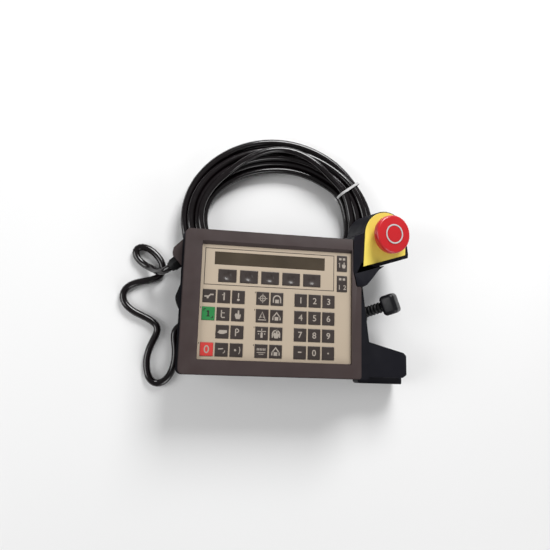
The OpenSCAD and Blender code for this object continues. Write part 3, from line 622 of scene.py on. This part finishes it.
def digit(name, text, centre, height, top, body):
    """A digit as a thin closed mesh, centred on its key and standing on top."""
    curve = bpy.data.curves.new(name, "FONT")
    curve.body = text
    curve.size = height * 1.4 * MM
    curve.extrude = 0.05 * MM
    curve.offset = 0.12 * MM
    curve.resolution_u = 4
    shape = bpy.data.objects.new(name + "_text", curve)
    mesh = bpy.data.meshes.new_from_object(shape)
    bpy.data.objects.remove(shape)
    made = bmesh.new()
    made.from_mesh(mesh)
    bmesh.ops.remove_doubles(made, verts=made.verts, dist=1e-7)
    made.to_mesh(mesh)
    made.free()
    xyz = np.empty(len(mesh.vertices) * 3)
    mesh.vertices.foreach_get("co", xyz)
    xyz = xyz.reshape(-1, 3)
    xyz += [*(np.array(centre[:2]) - (xyz.min(0) + xyz.max(0))[:2] / 2), top]
    mesh.vertices.foreach_set("co", xyz.ravel())
    mesh.materials.clear()
    mesh.materials.append(pale_print)
    made = bpy.data.objects.new(name, mesh)
    bpy.context.scene.collection.objects.link(made)
    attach(made, body)
    return made


for number in range(10):
    low, high = box(f"key_digit_{number}")
    digit(f"digit_{number}", str(number), (low + high) / 2, 8.5, high[2], f"key_digit_{number}")
low, high = box("key_tall_2")
for number, side in ((1, -0.24), (2, 0.24)):
    centre = (low + high) / 2 + np.array([side * (high - low)[0], -5.0 * MM, 0])
    digit(f"tall_digit_{number}", str(number), centre, 6.5, high[2], "key_tall_2")
print("ten digits, and two on the second tall key")

# %% [markdown]
# A thin dark line frames the display and the soft keys. It is printed on the overlay: four
# narrow plates that meet at the corners. Six keys have a small dark mark beside them.
# %% The frame line
window_low, window_high = box("display_window")
soft_low, soft_high = box("key_soft_1")
x0, x1 = window_low[0] - 13.4 * MM, window_high[0] + 13.8 * MM
y0, y1 = soft_low[1] - 3.9 * MM, window_high[1] + 4.9 * MM
line = 0.9 * MM
bars = [[(x0, y0), (x1, y0), (x1, y0 + line), (x0, y0 + line)],
        [(x0, y1 - line), (x1, y1 - line), (x1, y1), (x0, y1)],
        [(x0, y0), (x0 + line, y0), (x0 + line, y1), (x0, y1)],
        [(x1 - line, y0), (x1, y0), (x1, y1), (x1 - line, y1)]]
for n, bar in enumerate(bars):
    printed(f"frame_line_{n + 1}", [np.array(bar) / MM], (0, 0), 1.0, overlay_high[2],
            dark_print, "housing")

# small marks beside some keys, each a short upright bar at the key's upper left corner
for name in ("key_left_21", "key_left_41", "key_middle_11", "key_middle_21", "key_middle_31",
             "key_middle_41"):
    low, high = box(name)
    corner = np.array([low[0] - 1.2 * MM, high[1] - 1.8 * MM])
    bar = [(-0.4, -1.1), (0.4, -1.1), (0.4, 1.1), (-0.4, 1.1)]
    printed(name + "_mark", [bar], corner, 1.0, overlay_high[2], dark_print, "housing")
print("the frame line is", round((x1 - x0) / MM), "by", round((y1 - y0) / MM), "mm")

# %% [markdown]
# The emergency stop's face carries a pale ring. It is turned: a small profile goes round the
# head's own axis. That axis is the joint's, and the middle of the face is measured from the
# head's mesh, so the ring sits true on the tilted pod.
# %% The ring on the stop
axis = -np.array(next(j for j in frame["joints"] if j["name"] == "estop_push")["axis"])
head = frame["nodes"]["estop_head"].data
xyz = np.empty(len(head.vertices) * 3)
head.vertices.foreach_get("co", xyz)
xyz = xyz.reshape(-1, 3)
along = xyz @ axis
face = np.unique(xyz[along > along.max() - 1e-5].round(7), axis=0)
face_middle = (face.min(0) + face.max(0)) / 2
face_middle = face_middle + axis * (along.max() - face_middle @ axis)


def turned(name, profile, middle, axis, body, material, slot, sides=64):
    """A closed profile of radius and height pairs, in millimetres, swept round an axis: each
    point goes round a circle of its radius at its height along the axis."""
    side = np.cross(axis, [0.0, 1.0, 0.0])
    side = side / np.linalg.norm(side)
    other = np.cross(axis, side)
    t = np.arange(sides) * 2 * np.pi / sides
    profile = np.array(profile) * MM
    round_axis = np.cos(t)[:, None] * side + np.sin(t)[:, None] * other
    radius, height = profile[:, 0][:, None, None], profile[:, 1][:, None, None]
    points = middle + radius * round_axis[None] + height * axis
    rows = len(profile)
    i, j = np.meshgrid(np.arange(rows), np.arange(sides), indexing="ij")
    a, b = (i + 1) % rows, (j + 1) % sides
    faces = np.stack([i * sides + j, i * sides + b, a * sides + b, a * sides + j], -1)
    made = piece(name, points.reshape(-1, 3), faces.reshape(-1, 4), body, material)
    return made


turned("stop_ring", [(11.9, -0.1), (13.9, -0.1), (13.9, 0.06), (13.8, 0.12), (12.0, 0.12),
                     (11.9, 0.06)],
       face_middle, axis, "estop_head", tie_plastic, "overlay")
print("the stop's face is at", face_middle.round(4))

# %% [markdown]
# A white tie holds the coil's strands together. It is a strap round the bundle: a rounded
# rectangle of the bundle's own size, made 3.6 mm wide and 0.8 mm thick.
# %% The tie
TIE_ANGLE = math.radians(34)


def strap(name, width, thickness):
    """Rings round the bundle in the plane across the coil: at each angle of the rounded
    rectangle, four corners of the strap's own section, inside and outside, left and right."""
    bundle = np.array([38.8, 33.0])
    outline = rounded_ring(*bundle, 10.0, 0.0, each=8)
    away = np.array([COIL_A * math.cos(TIE_ANGLE), COIL_B * math.sin(TIE_ANGLE), 0])
    along = np.array([-COIL_A * math.sin(TIE_ANGLE), COIL_B * math.cos(TIE_ANGLE), 0])
    along = along / np.linalg.norm(along)
    out = np.cross(along, [0, 0, 1])
    middle = np.array([COIL_X, COIL_Y, 0]) + away - out * 19.3 + [0, 0, 16.4]
    grown = outline * (1 + thickness / (bundle / 2))
    sections = [(outline, -1), (outline, 1), (grown, 1), (grown, -1)]
    loops = [middle + ring[:, :1] * out + ring[:, 1:] * [0, 0, 1] + along * side * width / 2
             for ring, side in sections]
    points = np.stack(loops, axis=1)
    points[..., 2] = np.maximum(points[..., 2], 0.0)
    n, m = points.shape[:2]
    i, j = np.meshgrid(np.arange(n), np.arange(m), indexing="ij")
    a, b = (i + 1) % n, (j + 1) % m
    faces = np.stack([i * m + j, i * m + b, a * m + b, a * m + j], -1).reshape(-1, 4)
    points = points.reshape(-1, 3) * MM + [panel[0], panel[1], 0]
    made = piece(name, points, faces, "housing", tie_plastic, smooth=False)
    return made


tie = strap("coil_tie", 3.6, 0.8)
print("the tie reaches up to", round(max(v.co.z for v in tie.data.vertices) / MM, 1), "mm")

# %% [markdown]
# Every piece is in place. The last cell measures the box round everything that is shown,
# leaving out the floor, and prints its size.
# %% Finish
low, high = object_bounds()
print("finished size", (np.array(high) - np.array(low)).round(4))
